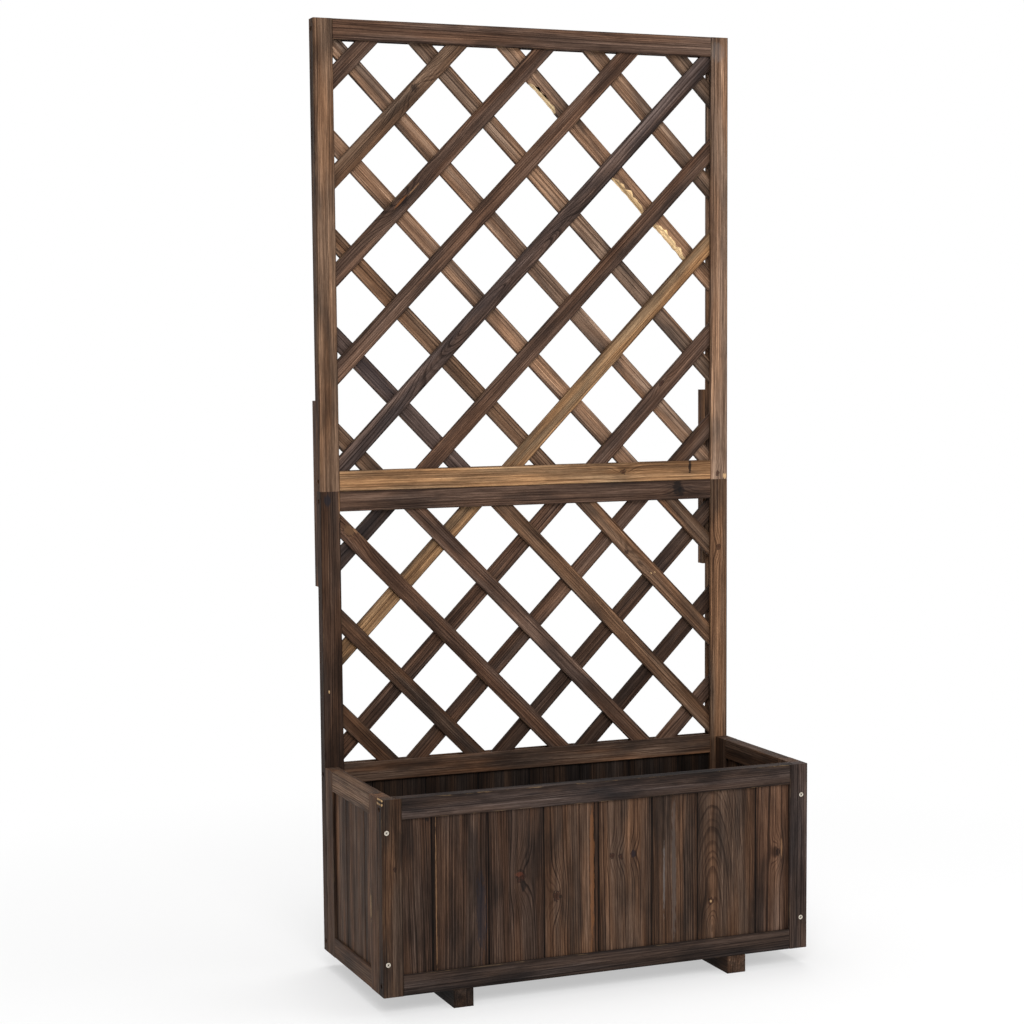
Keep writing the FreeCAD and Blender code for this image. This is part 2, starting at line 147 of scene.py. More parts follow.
def use_group(graph, group, **values):
    """Group node with some inputs fed; underscores in the names stand for spaces."""
    node = graph.add("ShaderNodeGroup", node_tree=group)
    for name, value in values.items():
        graph.feed(node.inputs[name.replace("_", " ")], value)
    return node.outputs


def make_grain_space():
    """Object coordinates in metres to U, V and W in millimetres."""
    group, graph, given, made = new_group(
        "grain_space",
        [("Centre", "Vector"), ("Along", "Vector"), ("Across", "Vector"), ("Through", "Vector")],
        [("Place", "Vector")])
    coordinates = graph.add("ShaderNodeTexCoord").outputs["Object"]
    local = graph.vector("SUBTRACT", coordinates, given["Centre"])
    parts = [graph.vector("DOT_PRODUCT", local, given[name])
             for name in ("Along", "Across", "Through")]
    place = graph.vector("MULTIPLY", graph.join(*parts), PER_MM)
    graph.feed(made["Place"], place)
    return group


def make_knot():
    """A knot adds a hill to the field of the growth rings, which then bend round it."""
    group, graph, given, made = new_group(
        "knot",
        [("Place", "Vector"), ("Centre", "Vector"), ("Radius", "Float"), ("Swirl", "Float"),
         ("Stretch", "Float"), ("Strength", "Float"), ("Field", "Float"), ("Core", "Float")],
        [("Field", "Float"), ("Core", "Float")])
    along, across, _ = graph.split(graph.vector("SUBTRACT", given["Place"], given["Centre"]))
    flat = graph.join(graph.math("MULTIPLY", along, given["Stretch"]), across, 0.0)
    distance = graph.math("DIVIDE", graph.vector("LENGTH", flat), given["Radius"])
    hill = graph.math("EXPONENT", graph.math("MULTIPLY", graph.math("POWER", distance, 2.0), -0.22))
    height = graph.math("MULTIPLY", hill, graph.math("MULTIPLY", given["Swirl"], given["Radius"]))
    graph.feed(made["Field"], graph.math("ADD", given["Field"], height))
    rough = graph.noise(given["Place"], (0.25, 0.4, 0.4), (7.0, 3.0, 1.0), 2.0)
    tight = graph.join(graph.math("MULTIPLY", along, 0.8), across, 0.0)
    edge = graph.math("DIVIDE", graph.vector("LENGTH", tight), given["Radius"])
    edge = graph.math("ADD", edge, graph.math("MULTIPLY", graph.math("SUBTRACT", rough, 0.5), 1.6))
    core = graph.math("MULTIPLY", graph.smooth(edge, 1.15, 0.35), given["Strength"])
    graph.feed(made["Core"], graph.math("MAXIMUM", given["Core"], core))
    return group


def make_mark():
    """Share of a ragged spot or streak at a place."""
    group, graph, given, made = new_group(
        "mark",
        [("Place", "Vector"), ("Centre", "Vector"), ("Shrink", "Vector"), ("Strength", "Float")],
        [("Mask", "Float")])
    local = graph.vector("SUBTRACT", given["Place"], given["Centre"])
    edge = graph.vector("LENGTH", graph.vector("MULTIPLY", local, given["Shrink"]))
    ragged = graph.noise(given["Place"], (0.08, 0.45, 0.45), (4.0, 6.0, 2.0), 3.0, 0.6)
    ragged = graph.math("MULTIPLY", graph.math("SUBTRACT", ragged, 0.5), 2.2)
    mask = graph.smooth(graph.math("ADD", edge, ragged), 1.3, 0.75)
    graph.feed(made["Mask"], graph.math("MULTIPLY", mask, given["Strength"]))
    return group


# How far each part of the grain moves the tone of the stain, in powers of two
EARLY_WOOD, LATE_WOOD = 0.30, 2.1
HAIR, FIBRE, FINE, STREAK, BAND, SMOKE = 1.5, 3.2, 2.8, 3.6, 4.4, 9.0
KNOT_HEART, KNOT_RIM = (78, 44, 32), (26, 18, 16)


def make_timber():
    """Stained softwood: growth rings cut from a log, fibres, streaks, bands, clouds and knots."""
    group, graph, given, made = new_group(
        "stained_timber",
        [("Place", "Vector"), ("Seed", "Vector"), ("Pith", "Vector"), ("Tilt", "Vector"),
         ("Ring Width", "Float"), ("Wave", "Float"), ("Field", "Float"), ("Core", "Float"),
         ("Stain", "Color"), ("Rings", "Float"), ("Streaks", "Float"), ("Bands", "Float"),
         ("Warmth", "Float"), ("Smoke", "Float"), ("Shade", "Float")],
        [("Color", "Color"), ("Height", "Float"), ("Roughness", "Float")])
    place, seed = given["Place"], given["Seed"]
    along, across, through = graph.split(place)
    pith_v, pith_w, _ = graph.split(given["Pith"])
    tilt_v, tilt_w, _ = graph.split(given["Tilt"])

    def from_pith(value, pith, tilt):
        return graph.math("SUBTRACT", graph.math("SUBTRACT", value, pith),
                          graph.math("MULTIPLY", tilt, along))

    def centred(value, reach):
        return graph.math("MULTIPLY", graph.math("SUBTRACT", value, 0.5), reach)

    def scaled(socket, factor):
        return graph.math("MULTIPLY", socket, factor)

    def shifted(*step):
        return graph.vector("ADD", seed, step)

    # Distance from the pith, bent by slow waves, small wiggles and the knots
    side = from_pith(across, pith_v, tilt_v)
    depth = from_pith(through, pith_w, tilt_w)
    radius = graph.vector("LENGTH", graph.join(side, depth, 0.0))
    slow = graph.noise(place, (0.0035, 0.016, 0.016), seed, 2.0)
    small = graph.noise(place, (0.013, 0.13, 0.13), seed, 2.0)
    radius = graph.math("ADD", radius, centred(slow, scaled(given["Wave"], 3.0)))
    radius = graph.math("ADD", radius, centred(small, 1.6))
    radius = graph.math("ADD", radius, given["Field"])
    rings = graph.math("DIVIDE", radius, given["Ring Width"])
    uneven = graph.noise(graph.join(rings, 0.0, 0.0), (0.45, 0.0, 0.0), seed, 1.0)
    rings = graph.math("ADD", rings, centred(uneven, 2.4))
    phase = graph.math("FRACT", rings)
    number = graph.add("ShaderNodeTexWhiteNoise", noise_dimensions="1D")
    graph.feed(number.inputs["W"], graph.math("FLOOR", rings))
    strength = graph.smooth(number.outputs["Value"], 0.0, 1.0, 0.15, 1.0)
    late = graph.math("MULTIPLY", graph.smooth(phase, 0.42, 0.85), graph.smooth(phase, 1.0, 0.94))
    late = graph.math("MULTIPLY", late, strength)

    # Fibres, streaks, bands and clouds of stain
    hair = graph.noise(place, (0.12, 2.6, 2.6), seed, 2.0, 0.5)
    fibre = graph.noise(place, (0.022, 0.75, 0.75), seed, 5.0, 0.65)
    fine = graph.noise(place, (0.007, 0.36, 0.36), shifted(2.0, 7.0, 5.0), 3.0, 0.6)
    streak = graph.noise(place, (0.0028, 0.17, 0.17), seed, 3.0, 0.6)
    band = graph.noise(place, (0.0022, 0.06, 0.06), shifted(5.0, 9.0, 2.0), 2.0)
    cloud = graph.noise(place, (0.009, 0.035, 0.035), shifted(3.0, 1.0, 8.0), 4.0)
    glow = graph.noise(place, (0.004, 0.045, 0.045), shifted(8.0, 4.0, 6.0), 2.0)

    # The stain is made lighter or darker by powers of two, and a little redder where dark
    lift = graph.math("SUBTRACT", EARLY_WOOD, scaled(late, LATE_WOOD))
    value = graph.math("MULTIPLY", lift, given["Rings"])
    value = graph.math("ADD", value, given["Shade"])
    thin_cloud = graph.math("SUBTRACT", graph.math("MINIMUM", cloud, 0.54), 0.49)
    for part in (centred(hair, HAIR), centred(fibre, FIBRE), centred(fine, FINE),
                 centred(streak, scaled(given["Streaks"], STREAK)),
                 centred(band, scaled(given["Bands"], BAND)),
                 graph.math("MULTIPLY", thin_cloud, scaled(given["Smoke"], SMOKE))):
        value = graph.math("ADD", value, part)
    tones = [graph.math("POWER", 2.0, scaled(value, power)) for power in (1.0, 1.07, 1.10)]
    colour = graph.mix(1.0, given["Stain"], graph.join(*tones), "MULTIPLY")
    tint = graph.mix(graph.smooth(glow, 0.36, 0.64), (0.90, 1.0, 1.10, 1), (1.18, 0.99, 0.78, 1))
    colour = graph.mix(given["Warmth"], colour, graph.mix(1.0, colour, tint, "MULTIPLY"))
    veil = graph.math("MULTIPLY", graph.smooth(cloud, 0.50, 0.34), given["Smoke"])
    colour = graph.mix(veil, colour, graph.mix(1.0, colour, (0.84, 1.0, 1.18, 1), "MULTIPLY"))

    # Knots: dark red-brown wood with a nearly black rim
    core = given["Core"]
    rim = graph.math("MULTIPLY", graph.smooth(core, 0.02, 0.35), graph.smooth(core, 0.95, 0.4))
    grown = graph.smooth(graph.math("SINE", scaled(core, 16.0)), -0.6, 0.9, 0.55, 1.25)
    heart = graph.mix(0.35, graph.mix(1.0, colour, (0.30, 0.27, 0.27, 1), "MULTIPLY"),
                      linear(KNOT_HEART))
    heart = graph.mix(1.0, heart, graph.join(grown, grown, grown), "MULTIPLY")
    colour = graph.mix(graph.smooth(core, 0.3, 0.95, 0.0, 0.85), colour, heart)
    colour = graph.mix(graph.math("MULTIPLY", rim, 0.8), colour, linear(KNOT_RIM))

    graph.feed(made["Color"], colour)
    relief = graph.math("ADD", scaled(fibre, 0.7), scaled(late, -0.4))
    relief = graph.math("ADD", relief, scaled(fine, 0.6))
    graph.feed(made["Height"], graph.math("ADD", relief, scaled(hair, 0.3)))
    graph.feed(made["Roughness"], graph.smooth(fibre, 0.25, 0.75, 0.80, 0.58))
    return group


GRAIN_SPACE = make_grain_space()
KNOT = make_knot()
MARK = make_mark()
TIMBER = make_timber()

# ---------------------------------------------------------------- looks of the wood

STAINS = {
    "raw": (244, 212, 164),
    "honey": (137, 106, 77),
    "oat": (126, 99, 80),
    "chestnut": (104, 79, 61),
    "cocoa": (92, 69, 56),
    "walnut": (82, 61, 49),
    "umber": (74, 55, 43),
    "sepia": (61, 45, 36),
    "slate": (62, 50, 45),
}
INKS = {
    "cream": (214, 176, 128),
    "tan": (150, 113, 82),
    "orange": (136, 88, 52),
    "red": (112, 62, 44),
    "grey": (112, 104, 100),
    "blue": (30, 31, 38),
    "black": (18, 15, 15),
}


def tinted(colour, share):
    """Stain made lighter or darker, as a linear colour."""
    return linear([min(255, part * share) for part in colour])


def knot(along, across, radius=5.0, swirl=1.8, core=1.0, stretch=0.42):
    """A knot, in millimetres from the middle of its piece; with no core it only bends the rings."""
    return dict(centre=(along, across, 0), radius=radius, swirl=swirl, core=core, stretch=stretch)


def mark(along, across, length, width, ink, strength=0.7):
    """A spot or streak of another colour, with its half length and half width in millimetres."""
    return dict(centre=(along, across, 0), reach=(length, width), ink=ink, strength=strength)


# Shade in powers of two: at the long edges, and for each kind of piece the distances from
# them in millimetres where it starts and is full, and the shade of the rest of the face.
# On the plain pieces the dark edges are partly darker arrises and partly painted shade
EDGE_SHADE = -0.95
PLAIN_EDGE = (2.6, 0.3, -0.12)
GROOVED_EDGE = (22.0, 0.0, -0.1)


def timber_material(name, axes, centre, half, stain="cocoa", tone=1.0, ring_width=4.0,
                    pith=(90, 25), tilt=(0.0, 0.0), wave=2.5, rings=0.7, streaks=0.7, bands=0.6,
                    warmth=0.5, smoke=0.5, knots=(), marks=(), wear=0.1, grooved=False):
    """Material for one piece of wood.

    axes are its grain directions, centre its middle and half its half sizes along them.
    A grooved piece is dark in the bevels between it and the next board: stain gathered in the joints,
    and painted shade.
    """
    material = bpy.data.materials.new(name + "_wood")
    material.use_nodes = True
    tree = material.node_tree
    tree.nodes.clear()
    graph = Graph(tree)
    draw = random.Random(name)
    seed = [draw.uniform(-90, 90) for _ in range(3)]
    place = use_group(graph, GRAIN_SPACE, Centre=centre, Along=axes[0], Across=axes[1],
                      Through=axes[2])["Place"]
    field, core = 0.0, 0.0
    for item in knots:
        made = use_group(graph, KNOT, Place=place, Centre=item["centre"], Radius=item["radius"],
                         Swirl=item["swirl"], Stretch=item["stretch"], Strength=item["core"],
                         Field=field, Core=core)
        field, core = made["Field"], made["Core"]
    _, across, through = graph.split(place)
    across, through = graph.math("ABSOLUTE", across), graph.math("ABSOLUTE", through)
    # Darker long edges; on the plain pieces partly darker arrises, partly painted shade
    side = half[1] / MM
    starts, full, face_shade = GROOVED_EDGE if grooved else PLAIN_EDGE
    shade = graph.smooth(across, side - starts, side - full, face_shade, EDGE_SHADE)
    wood = use_group(
        graph, TIMBER, Place=place, Seed=seed, Pith=(*pith, 0), Tilt=(*tilt, 0),
        Ring_Width=ring_width, Wave=wave, Field=field, Core=core,
        Stain=tinted(STAINS[stain], tone), Rings=rings, Streaks=streaks, Bands=bands,
        Warmth=warmth, Smoke=smoke, Shade=shade)
    colour = wood["Color"]
    for item in marks:
        shrink = (1 / item["reach"][0], 1 / item["reach"][1], 0)
        mask = use_group(graph, MARK, Place=place, Centre=item["centre"], Shrink=shrink,
                         Strength=item["strength"])["Mask"]
        colour = graph.mix(mask, colour, linear(INKS[item["ink"]]))

    # The stain is rubbed off in places along the long edges
    near = [graph.smooth(part, reach / MM - 1.8, reach / MM - 0.2)
            for part, reach in ((across, half[1]), (through, half[2]))]
    rubbed = graph.noise(place, (0.03, 0.25, 0.25), [part + 20 for part in seed], 4.0, 0.7)
    rubbed = graph.smooth(rubbed, 0.52, 0.64)
    edge = graph.math("MULTIPLY", graph.math("MULTIPLY", near[0], near[1]), rubbed)
    colour = graph.mix(graph.math("MULTIPLY", edge, wear), colour, linear(INKS["cream"]))
    # Bevels between boards darkened nearly to black: stain gathered in the joints, and painted shade
    if grooved:
        sunk = graph.math("SUBTRACT", half[2] / MM, through)
        colour = graph.mix(graph.smooth(sunk, 0.1, 0.6, 0.0, 0.85), colour, linear(INKS["black"]))

    surface = graph.add("ShaderNodeBsdfPrincipled")
    surface.inputs["Specular IOR Level"].default_value = 0.1
    graph.feed(surface.inputs["Base Color"], colour)
    graph.feed(surface.inputs["Roughness"], wood["Roughness"])
    bump = graph.add("ShaderNodeBump")
    bump.inputs["Strength"].default_value = 0.8
    bump.inputs["Distance"].default_value = 0.6 * MM
    graph.feed(bump.inputs["Height"], wood["Height"])
    graph.feed(surface.inputs["Normal"], bump.outputs["Normal"])
    output = graph.add("ShaderNodeOutputMaterial")
    graph.feed(output.inputs["Surface"], surface.outputs["BSDF"])
    return material


# What differs from piece to piece. Whatever isn't said here comes from the family below.
LOOKS = {
    "upper_top_rail": dict(stain="cocoa", tone=0.87, smoke=0.7),
    "upper_left_stile": dict(stain="chestnut", tone=1.03),
    "upper_right_stile": dict(
        stain="oat", tone=0.97,
        knots=[knot(-356, -3, 4.0)],
        marks=[mark(341, -4, 14, 12, "grey", 0.4), mark(-361, 11, 4, 3, "cream")]),
    "upper_bottom_rail": dict(
        stain="honey", tone=1.02, rings=0.55, smoke=0.3,
        knots=[knot(165, 1, 4.5, 2.0)],
        marks=[mark(288, 6, 2.6, 10, "black", 0.9)]),
    "upper_front_corner_slats_1": dict(stain="walnut", tone=0.92),
    "upper_front_corner_slats_2": dict(stain="walnut", tone=0.9),
    "upper_back_corner_slats_1": dict(stain="oat", tone=0.75),
    "upper_back_corner_slats_2": dict(stain="oat", tone=0.75),
    "upper_front_slat_1": dict(stain="chestnut", tone=0.96, knots=[knot(48, 4, 8, 2.2, 0.3, 0.35)]),
    "upper_front_slat_2": dict(
        stain="walnut", tone=1.03,
        knots=[knot(-90, 2, 8, 2.8, 0.4, 0.3), knot(11, 11, 6, 2.0, 0.0, 0.3)],
        marks=[mark(-95, 4, 15, 1.6, "orange", 0.6), mark(-66, 2, 13, 1.2, "tan", 0.6)]),
    "upper_front_slat_3": dict(stain="cocoa", tone=0.92),
    "upper_front_slat_4": dict(
        stain="slate", tone=1.25, ring_width=4.2, pith=(30, 12),
        knots=[knot(-120, 5, 8, 6.5, 0.0, 0.13), knot(34, -4, 6, 4.0, 0.0, 0.2)]),
    "upper_front_slat_5": dict(stain="walnut", tone=1.02),
    "upper_front_slat_6": dict(stain="honey", tone=0.93, warmth=0.7, rings=0.45, smoke=0.3),
    "upper_front_slat_7": dict(stain="cocoa", knots=[knot(28, 8, 4.5)]),
    # Most back slats of the upper panel take the lighter oat stain: painted light, for the stronger
    # light on them from behind
    "upper_back_slat_1": dict(
        stain="slate", tone=1.2, warmth=0.1, marks=[mark(-60, 0, 50, 10, "blue", 0.4)]),
    "upper_back_slat_2": dict(stain="chestnut"),
    "upper_back_slat_3": dict(stain="oat", tone=0.98),
    "upper_back_slat_4": dict(stain="oat"),
    "upper_back_slat_5": dict(stain="oat", tone=0.88),
    "upper_back_slat_6": dict(stain="oat", tone=1.02, smoke=0.9),
    "upper_back_slat_7": dict(stain="oat", tone=0.87),
    "lower_top_rail": dict(
        stain="cocoa", tone=0.82, warmth=0.3, knots=[knot(268, 3, 5, 1.6, 0.0)],
        marks=[mark(264, 4, 8, 12, "black", 0.8), mark(272, -2, 6, 9, "black", 0.7)]),
    "lower_middle_rail": dict(stain="umber", tone=1.2, warmth=1.0),
    "lower_left_stile": dict(
        stain="sepia", tone=1.03, warmth=0.7,
        marks=[mark(356, -5, 9, 5, "blue"), mark(52, -7, 2.5, 1.2, "cream"),
               mark(350, 14.5, 20, 0.9, "tan")]),
    "lower_right_stile": dict(stain="chestnut", tone=0.96, warmth=0.7, knots=[knot(255, 0, 4.5)]),
    "lower_front_slat_1": dict(stain="umber", tone=1.03, warmth=0.7),
    "lower_front_slat_2": dict(
        stain="walnut", tone=1.02, knots=[knot(-250, 4, 9, 1.3, 0.7)],
        marks=[mark(-250, 4, 9, 8, "tan", 0.35), mark(-243, 11, 6, 1.6, "tan", 0.6)]),
    "lower_front_slat_3": dict(stain="cocoa", tone=0.95),
    "lower_front_slat_4": dict(stain="chestnut", tone=0.93),
    "lower_front_slat_5": dict(
        stain="chestnut", knots=[knot(-50, -7, 5, 2.6, 0.3, 0.3)],
        marks=[mark(12, 4, 2.5, 1, "cream"), mark(8, -2, 2, 0.9, "cream"),
               mark(-19, -4, 6, 3, "black", 0.5)]),
    "lower_front_corner_slats_1": dict(stain="umber", tone=1.1, warmth=0.8),
    "lower_front_corner_slats_2": dict(stain="chestnut", tone=1.0, warmth=0.7),
    "lower_back_slat_1": dict(stain="honey", tone=0.8, warmth=0.5, smoke=0.9),
    "lower_back_slat_2": dict(stain="walnut", tone=0.98),
    "lower_back_slat_3": dict(stain="walnut", tone=0.99),
    "lower_back_slat_4": dict(stain="sepia", tone=1.02),
    "lower_back_slat_5": dict(stain="sepia", tone=0.98),
    "lower_back_corner_slats_1": dict(stain="slate", tone=0.96),
    "lower_back_corner_slats_2": dict(stain="walnut", tone=1.2, warmth=0.8),
    "front_top_rail": dict(stain="slate", tone=0.88, wear=0.3, smoke=0.8),
    "front_bottom_rail": dict(stain="slate", tone=0.8, bands=0.8),
    "front_left_stile": dict(
        stain="umber", tone=0.86, warmth=0.8,
        knots=[knot(44, 4, 3.5, 1.2, 0.7)],
        marks=[mark(143, -15, 2, 1.2, "cream", 0.6), mark(149, -15, 1.5, 1.0, "cream")]),
    "front_right_stile": dict(stain="slate", tone=0.98),
    "front_boards_1": dict(stain="sepia", tone=0.96, marks=[mark(117, 18, 5, 3.5, "black")]),
    "front_boards_2": dict(
        stain="sepia", tone=0.94,
        marks=[mark(-9, -41.5, 110, 0.8, "tan", 0.6), mark(-40, 31, 58, 7.5, "blue", 0.6)]),
    "front_boards_3": dict(
        stain="sepia", tone=1.02, knots=[knot(14, 5, 8, 2.2)],
        marks=[mark(17, 1, 3, 6, "red", 0.35), mark(-1, 8, 8, 4, "black"),
               mark(84, 18, 40, 2, "black", 0.5)]),
    "front_boards_4": dict(
        stain="umber", knots=[knot(-23, -27, 7, 2.5)],
        marks=[mark(12, 32, 110, 3.5, "orange", 0.4)]),
    "front_boards_5": dict(
        stain="umber", tone=1.02,
        knots=[knot(31, -25, 4.5), knot(28, -10, 4.5), knot(31, 11, 5)],
        marks=[mark(31, 11, 5, 4, "blue", 0.6)]),
    "front_boards_6": dict(
        stain="umber", tone=0.94,
        marks=[mark(-16, -21, 52, 1.6, "grey", 0.6), mark(0, -4, 110, 3.5, "grey", 0.25)]),
    "front_boards_7": dict(
        stain="umber", tone=0.97, pith=(-28, -26), tilt=(0.0, -0.2), wave=1.2,
        ring_width=2.9, rings=0.5,
        knots=[knot(-58, -30, 5.5, 1.5)],
        marks=[mark(-58, -30, 2, 2, "cream", 0.6)]),
    "front_boards_8": dict(
        stain="walnut", tone=0.96, knots=[knot(10, 8, 5, 3.0, 0.6)],
        marks=[mark(16, 14, 16, 1.2, "tan", 0.6)]),
    "left_side_top_rail": dict(stain="oat", tone=0.8, warmth=0.2),
    "left_side_front_stile": dict(
        stain="umber", tone=1.06, warmth=0.7, marks=[mark(-21, 15, 22, 1.2, "cream", 0.6)]),
    "left_side_rear_stile": dict(stain="umber", tone=1.03, warmth=0.7),
    "left_side_bottom_rail": dict(stain="umber", tone=1.1),
    "left_side_boards_1": dict(stain="umber", tone=1.25, warmth=0.9),
    "left_side_boards_2": dict(stain="umber", tone=1.0, warmth=0.7),
    "left_side_boards_3": dict(stain="umber", tone=1.2, warmth=0.8),
    "left_runner": dict(stain="sepia", tone=0.7),
    "right_runner": dict(stain="umber", tone=0.92),
    "left_batten": dict(stain="cocoa", tone=1.15),
    "right_batten": dict(stain="chestnut", tone=1.2),
}


def family(name):
    """Usual look of the pieces that a name belongs to."""
    if "slat" in name:
        return dict(stain="walnut", ring_width=3.4, rings=0.75)
    # Back and floor boards are stained darker (tone 0.62): painted shade of the inside of the box
    if name.startswith(("back_boards", "floor_boards")):
        return dict(stain="sepia", tone=0.62, ring_width=4.6, warmth=0.9, grooved=True)
    if "boards" in name:
        return dict(stain="umber", ring_width=4.0, rings=1.0, warmth=0.6, grooved=True)
    if name.startswith("upper"):
        return dict(stain="chestnut", ring_width=3.6, wear=0.16)
    return dict(stain="umber", ring_width=3.8, wear=0.12)


def grain_axes(name, half):
    """Directions along, across and through a piece, from its name and its half sizes."""
    if "slat" in name:
        rises = name.startswith(("upper_front", "lower_back"))
        along = RISING if rises else FALLING
        return along, along.cross(Y), Y
    if name.startswith("floor"):
        return X, Y, Z
    if "boards" in name:
        along = Z
    else:
        along = max(((half[index], axis) for index, axis in enumerate((X, Y, Z))),
                    key=lambda pair: pair[0])[1]
    if "side" in name:
        return along, (Y if along == Z else Z), X
    return along, (X if along != X else Z), (Z if along == Y else Y)


# ---------------------------------------------------------------- pieces of wood

EASED_EDGE = 0.5 * MM


def grain_frame(piece, name):
    """Grain directions of a piece, its middle and its half sizes along them."""
    places = [vertex.co for vertex in piece.data.vertices]
    half_box = [(max(place[index] for place in places) - min(place[index] for place in places)) / 2
                for index in range(3)]
    axes = grain_axes(name, half_box)
    centre = Vector()
    half = []
    for axis in axes:
        reach = [place.dot(axis) for place in places]
        centre += axis * (min(reach) + max(reach)) / 2
        half.append((max(reach) - min(reach)) / 2)
    return axes, centre, half


def dress(piece, name):
    """Give a piece of wood its own material and eased edges."""
    axes, centre, half = grain_frame(piece, name)
    draw = random.Random("look " + name)
    look = dict(pith=(draw.choice((-1, 1)) * draw.uniform(55, 130), draw.uniform(-40, 40)),
                tilt=(draw.uniform(-0.02, 0.02), draw.uniform(-0.02, 0.02)))
    look.update(family(name))
    look.update(LOOKS.get(name, {}))
    material = timber_material(name, axes, centre, half, **look)
    piece.data.materials.clear()
    piece.data.materials.append(material)
    for slot in piece.material_slots:
        slot.material = material
    weld = piece.modifiers.new("Joined_corners", "WELD")
    weld.merge_threshold = SAME_PLACE
    bevel = piece.modifiers.new("Eased_edges", "BEVEL")
    bevel.width = EASED_EDGE
    bevel.segments = 2
    bevel.limit_method = "ANGLE"
    bevel.angle_limit = math.radians(40)
    bevel.harden_normals = False


def solids_of(node_name):
    """Corner places and faces of each solid of a CAD node, in order along X, then Y.

    The faces of a solid follow each other, so it ends where every edge has its second face.
    Neighbours that touch would be joined if their corners were simply merged.
    """
    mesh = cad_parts[node_name].data
    keys = [tuple(round(part / SAME_PLACE) for part in vertex.co) for vertex in mesh.vertices]
    solids, faces, open_edges = [], [], set()
    for polygon in mesh.polygons:
        loop = [keys[index] for index in polygon.vertices]
        faces.append(polygon.vertices[:])
        for pair in zip(loop, loop[1:] + loop[:1]):
            open_edges ^= {frozenset(pair)}
        if not open_edges:
            order, places = {}, []
            for index in (index for face in faces for index in face):
                if keys[index] not in order:
                    order[keys[index]] = len(places)
                    places.append(mesh.vertices[index].co.copy())
            solids.append((places, [[order[keys[index]] for index in face] for face in faces]))
            faces = []
    if faces:
        raise RuntimeError(f"{node_name} has an open solid")
    solids.sort(key=lambda solid: [round(min(place[axis] for place in solid[0]), 4)
                                   for axis in range(3)])
    return solids


def new_piece(name, mesh, *node_names):
    """Object for a mesh that stands for CAD nodes and rides with the body."""
    piece = bpy.data.objects.new(name, mesh)
    bpy.context.scene.collection.objects.link(piece)
    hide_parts(*node_names)
    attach(piece, BODY)
    return piece


def split(node_name):
    """Each solid of a CAD node as a piece of its own."""
    pieces = []
    for number, (places, faces) in enumerate(solids_of(node_name), start=1):
        mesh = bpy.data.meshes.new(f"{node_name}_{number}")
        mesh.from_pydata(places, [], faces)
        pieces.append(new_piece(f"{node_name}_{number}", mesh, node_name))
    return pieces


# Stretches of bark edge on a slat: start and end along it and rough greatest depth, in
# millimetres
WANED_NODE = "upper_back_slat_6"
WANE = ((-192, -126, 9.0), (14, 104, 11.0), (108, 210, 13.0))
WANE_STEP = 2
# The edge is bare of stain where it is eaten in by more than this
BARE_FROM = 0.8
# Share of the depth at the front, in the middle and at the back of the slat
ROUND_OF_LOG = {-1: 1.0, 0: 0.5, 1: 0.22}


def wane_depth(along):
    """How far the edge of the waned slat is eaten in, in millimetres."""
    for start, end, depth in WANE:
        share = (along - start) / (end - start)
        if 0 < share < 1:
            ragged = 0.9 + 0.55 * noise.noise(Vector((along * 0.1, 3, 1)))
            chips = 0.5 * noise.noise(Vector((along * 0.35, 7, 2)))
            return max(0.0, depth * math.sin(math.pi * share) ** 0.5 * ragged + chips)
    return 0.0


def waned_slat(node_name):
    """Slat whose lower left edge still has the round of the log in places."""
    axes, centre, half = grain_frame(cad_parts[node_name], node_name)
    along, across, through = axes
    shape = bmesh.new()
    shape.from_mesh(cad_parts[node_name].data)
    bmesh.ops.remove_doubles(shape, verts=shape.verts, dist=SAME_PLACE)

    def cut(place, normal):
        geometry = shape.verts[:] + shape.edges[:] + shape.faces[:]
        bmesh.ops.bisect_plane(shape, geom=geometry, plane_co=place, plane_no=normal, dist=1e-7)

    cut(centre, through)
    for start, end, _ in WANE:
        for station in range(start, end + 1, WANE_STEP):
            cut(centre + along * station * MM, along)
    rim = -half[1]
    shape.verts.ensure_lookup_table()
    edge_faces = [face for face in shape.faces
                  if all(abs((vertex.co - centre).dot(across) - rim) < 0.02 * MM
                         for vertex in face.verts)]
    for vertex in {vertex for face in edge_faces for vertex in face.verts}:
        local = vertex.co - centre
        depth = wane_depth(local.dot(along) / MM)
        level = local.dot(through) / half[2]
        vertex.co += across * depth * ROUND_OF_LOG[round(level)] * MM
    shape.faces.index_update()
    bark = [face.index for face in edge_faces
            if wane_depth((face.calc_center_median() - centre).dot(along) / MM) > BARE_FROM]
    mesh = bpy.data.meshes.new(node_name + "_waned")
    shape.to_mesh(mesh)
    shape.free()
    piece = new_piece(node_name + "_waned", mesh, node_name)
    dress(piece, node_name)
    piece.modifiers.remove(piece.modifiers["Eased_edges"])
    mesh.materials.append(timber_material(
        node_name + "_bark_edge", axes, centre, half, stain="raw", rings=0.3, smoke=0.0,
        streaks=0.8, bands=0.4, warmth=0.3, wear=0.0))
    for index in bark:
        mesh.polygons[index].material_index = 1
    return piece


GROUPED_NODES = [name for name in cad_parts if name.endswith(("boards", "corner_slats"))]
SCREW_NODES = [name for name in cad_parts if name.endswith("screws")]

for name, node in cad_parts.items():
    if name in GROUPED_NODES:
        for piece in split(name):
            dress(piece, piece.name)
    elif name == WANED_NODE:
        waned_slat(name)
    elif name not in SCREW_NODES:
        dress(node, name)

# ---------------------------------------------------------------- screws

def spotted_material(name, lumps, seed, detail, first, second):
    """Material of two colours in spots; returns it, its graph, its surface and the spots."""
    material = bpy.data.materials.new(name)
    material.use_nodes = True
    graph = Graph(material.node_tree)
    surface = material.node_tree.nodes["Principled BSDF"]
    place = graph.vector("MULTIPLY", graph.add("ShaderNodeTexCoord").outputs["Object"], PER_MM)
    spots = graph.noise(place, (lumps, lumps, lumps), seed, detail)
    colour = graph.mix(graph.smooth(spots, 0.4, 0.7), linear(first), linear(second))
    graph.feed(surface.inputs["Base Color"], colour)
    return material, graph, surface, spots


